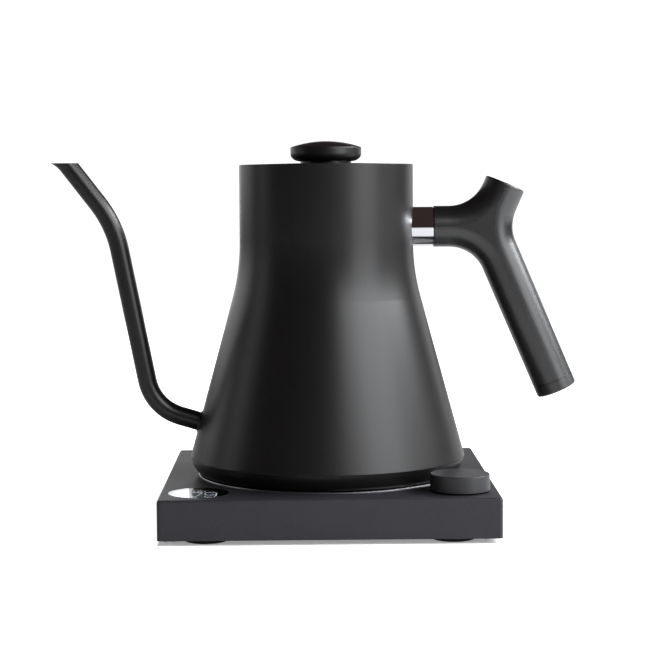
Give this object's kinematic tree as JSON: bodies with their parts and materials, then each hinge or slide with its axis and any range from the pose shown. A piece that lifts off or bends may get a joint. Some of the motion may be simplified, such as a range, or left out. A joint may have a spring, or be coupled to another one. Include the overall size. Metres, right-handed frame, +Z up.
{
  "type": "gooseneck kettle",
  "caption": "Electric pour-over kettle with a thin gooseneck spout, Y shaped handle and flat lid with a round knob, standing on a square heating base with a dial and a round display.",
  "frame": {"origin": "on the surface the base stands on, under the middle of the overall box; the kettle's own axis stands 6.3 mm further along +X", "axes": "+Z up, +X from the spout towards the handle, -Y towards the side with the dial and the display"},
  "size_m": [0.2795, 0.1722, 0.2003],
  "materials": {
    "coated_steel": "satin black powder coat",
    "bare_steel": "brushed stainless steel",
    "screw_steel": "zinc plated steel",
    "base_plastic": "matte black, fine spark-eroded grain",
    "dial_plastic": "matte black, faintly lighter than the base",
    "foot_plastic": "matte black, smooth",
    "handle_plastic": "matte black, soft fine grain",
    "knob_plastic": "satin black",
    "connector_plastic": "matte black, heat resistant",
    "inner_plastic": "matte dark grey",
    "chrome": "polished chrome",
    "window_glass": "polished dark glass",
    "display_black": "glossy black with lit digits",
    "contact_brass": "plain",
    "board_green": "solder mask green",
    "component_plastic": "moulded component cases",
    "lead_plastic": "insulated wire",
    "aluminium": "cast",
    "element_steel": "heat darkened sheath",
    "silicone": "matte silicone",
    "foot_rubber": "matte rubber"
  },
  "bodies": {
    "base": {"base_housing": "base_plastic", "bottom_plate": "base_plastic", "foot_front_left": "foot_rubber", "foot_front_right": "foot_rubber", "foot_rear_left": "foot_rubber", "foot_rear_right": "foot_rubber", "base_screws": "screw_steel", "seat_ring": "chrome", "plug_housing": "connector_plastic", "plug_earth_contact": "contact_brass", "plug_live_contact": "contact_brass", "plug_neutral_contact": "contact_brass", "display_window": "window_glass", "display_frame": "inner_plastic", "display_panel": "display_black", "control_board": "board_green", "encoder_body": "inner_plastic", "power_board": "board_green", "power_relay": "component_plastic", "power_transformer": "component_plastic", "terminal_block": "component_plastic", "filter_capacitor": "component_plastic", "board_screws": "screw_steel", "mains_leads": "lead_plastic", "plug_leads": "lead_plastic", "hold_switch_body": "inner_plastic", "cord_gland": "connector_plastic"},
    "hold_slider": {"hold_slider": "base_plastic"},
    "encoder_plunger": {"encoder_plunger": "inner_plastic"},
    "dial": {"control_dial": "dial_plastic", "dial_shaft": "bare_steel"},
    "connector_cup": {"coupler_housing": "connector_plastic", "coupler_earth_pin": "contact_brass", "coupler_inner_ring": "contact_brass", "coupler_outer_ring": "contact_brass"},
    "kettle": {"vessel_shell": "coated_steel", "rim_ledge": "bare_steel", "vessel_floor": "bare_steel", "spout": "coated_steel", "heater_plate": "aluminium", "heater_element": "element_steel", "thermal_cutout": "element_steel", "heater_leads": "lead_plastic", "temperature_probe": "bare_steel", "probe_seal": "silicone", "base_cover": "foot_plastic", "cover_gasket": "silicone", "cover_screws": "screw_steel", "handle_grip": "handle_plastic", "handle_stud": "bare_steel", "handle_ferrule": "chrome", "handle_screw": "screw_steel", "handle_weight": "bare_steel", "handle_end_cap": "handle_plastic"},
    "lid": {"lid_plate": "coated_steel", "lid_inner_cup": "bare_steel", "lid_gasket": "silicone", "lid_knob": "knob_plastic", "knob_screw": "screw_steel"}
  },
  "joints": [
    {"name": "kettle_lift", "type": "slide", "parent": "base", "child": "connector_cup", "axis": [0, 0, 1], "range_m": [0, 0.12]},
    {"name": "kettle_swivel", "type": "hinge", "parent": "connector_cup", "child": "kettle", "pos_m": [0.00626, 0, 0.0227], "axis": [0, 0, 1], "continuous": true},
    {"name": "lid_lift", "type": "slide", "parent": "kettle", "child": "lid", "axis": [0, 0, 1], "range_m": [0, 0.08]},
    {"name": "dial_press", "type": "slide", "parent": "base", "child": "encoder_plunger", "axis": [0, 0, -1], "range_m": [0, 0.0005], "stiffness_N_per_m": 400, "springref_m": -0.003},
    {"name": "dial_turn", "type": "hinge", "parent": "encoder_plunger", "child": "dial", "pos_m": [0.07226, -0.063, 0.03], "axis": [0, 0, 1], "continuous": true},
    {"name": "hold_switch", "type": "slide", "parent": "base", "child": "hold_slider", "axis": [1, 0, 0], "range_m": [0, 0.004]}
  ]
}
